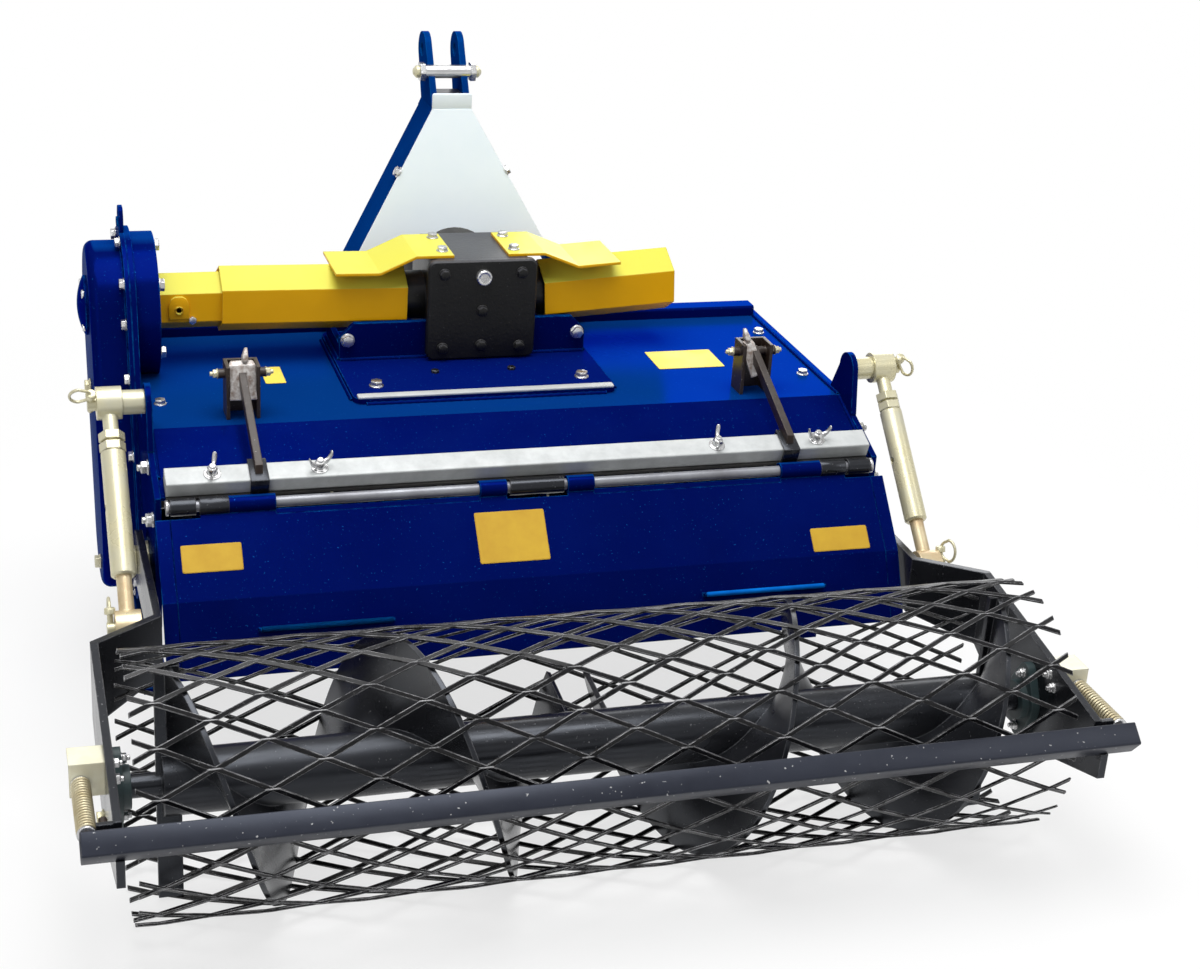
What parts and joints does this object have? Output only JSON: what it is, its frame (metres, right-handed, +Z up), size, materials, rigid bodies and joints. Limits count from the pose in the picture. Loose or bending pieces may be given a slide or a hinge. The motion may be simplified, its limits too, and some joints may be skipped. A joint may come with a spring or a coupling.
{
  "type": "rotary tiller",
  "caption": "Three-point tractor tiller with bladed rotor under a hood, side chain drive, hinged rear flap and an expanded-metal packer roller set by turnbuckles.",
  "frame": {"origin": "middle of the ground area that the machine's box covers", "axes": "+X to the machine's right seen from behind, +Y forward to the tractor, +Z up"},
  "size_m": [1.578, 1.49, 1.029],
  "materials": {
    "blue_paint": "gloss",
    "yellow_guard": "semi-gloss",
    "black_paint": "semi-gloss",
    "galvanised": "galvanised",
    "zinc": "yellow zinc plating",
    "bare_steel": "machined",
    "rubber": "matt",
    "pale_plate": "gloss",
    "cream_paint": "semi-gloss",
    "brown_paint": "matt",
    "cast_black": "painted casting",
    "worn_steel": "worn by soil"
  },
  "bodies": {
    "frame": {"hood_panel": "blue_paint", "front_rail": "blue_paint", "front_apron": "blue_paint", "side_plate_right": "blue_paint", "side_plate_left": "blue_paint", "skids": "blue_paint", "turnbuckle_upper_pins": "zinc", "arm_pivot_bolts": "zinc", "rotor_bearings": "cast_black", "stone_comb": "blue_paint", "gearbox_base": "blue_paint", "gearbox": "cast_black", "gearbox_cover": "cast_black", "pto_shaft": "bare_steel", "gearbox_braces": "blue_paint", "shaft_guard_right": "yellow_guard", "shaft_guard_left": "yellow_guard", "shaft_guard_tail": "yellow_guard", "guard_straps": "yellow_guard", "chain_case": "blue_paint", "chain_case_cap": "blue_paint", "mast_legs": "blue_paint", "top_link_pin": "bare_steel", "mast_sheet": "pale_plate", "mast_spacer": "black_paint", "hitch_plates": "blue_paint", "lower_link_pins": "zinc", "rubber_strip": "rubber", "batten": "galvanised", "hinge_rod": "bare_steel", "hinge_knuckles": "black_paint", "hold_downs": "brown_paint"},
    "rotor": {"rotor_tube": "black_paint", "rotor_blades": "worn_steel"},
    "flap": {"flap": "blue_paint"},
    "roller_frame": {"roller_arm_right": "black_paint", "roller_arm_left": "black_paint", "turnbuckle_lower_pins": "zinc", "roller_bearings": "cast_black", "scraper_bar": "black_paint", "scraper_bolts": "zinc", "scraper_seats": "cream_paint"},
    "roller": {"roller_core": "black_paint", "roller_cage": "black_paint"},
    "left_barrel": {"turnbuckle_barrel_left": "zinc"},
    "left_rod": {"turnbuckle_rod_left": "zinc"},
    "right_barrel": {"turnbuckle_barrel_right": "zinc"},
    "right_rod": {"turnbuckle_rod_right": "zinc"}
  },
  "joints": [
    {"name": "rotor_spin", "type": "hinge", "parent": "frame", "child": "rotor", "pos_m": [0, 0.29, 0.245], "axis": [1, 0, 0], "continuous": true},
    {"name": "flap_swing", "type": "hinge", "parent": "frame", "child": "flap", "pos_m": [0, -0.084, 0.44], "axis": [-1, 0, 0], "range_deg": [0, 18]},
    {"name": "roller_lift", "type": "hinge", "parent": "frame", "child": "roller_frame", "pos_m": [0, 0.07, 0.28], "axis": [-1, 0, 0], "range_deg": [-8, 12]},
    {"name": "roller_spin", "type": "hinge", "parent": "roller_frame", "child": "roller", "pos_m": [0, -0.505, 0.198], "axis": [1, 0, 0], "continuous": true},
    {"name": "left_link_swing", "type": "hinge", "parent": "frame", "child": "left_barrel", "pos_m": [-0.676, 0.072, 0.561], "axis": [-1, 0, 0], "range_deg": [-7, 9]},
    {"name": "left_link_slide", "type": "slide", "parent": "left_barrel", "child": "left_rod", "axis": [0, -0.7188, -0.6952], "range_m": [-0.044, 0.032]},
    {"name": "right_link_swing", "type": "hinge", "parent": "frame", "child": "right_barrel", "pos_m": [0.676, 0.072, 0.561], "axis": [-1, 0, 0], "range_deg": [-7, 9]},
    {"name": "right_link_slide", "type": "slide", "parent": "right_barrel", "child": "right_rod", "axis": [0, -0.7188, -0.6952], "range_m": [-0.044, 0.032]}
  ],
  "couplings": [
    {"joint": "left_link_swing", "follows": "roller_lift", "ratio": 0.48374},
    {"joint": "left_link_slide", "follows": "roller_lift", "m_per_rad": -0.2006},
    {"joint": "right_link_swing", "follows": "roller_lift", "ratio": 0.48374},
    {"joint": "right_link_slide", "follows": "roller_lift", "m_per_rad": -0.2006}
  ]
}
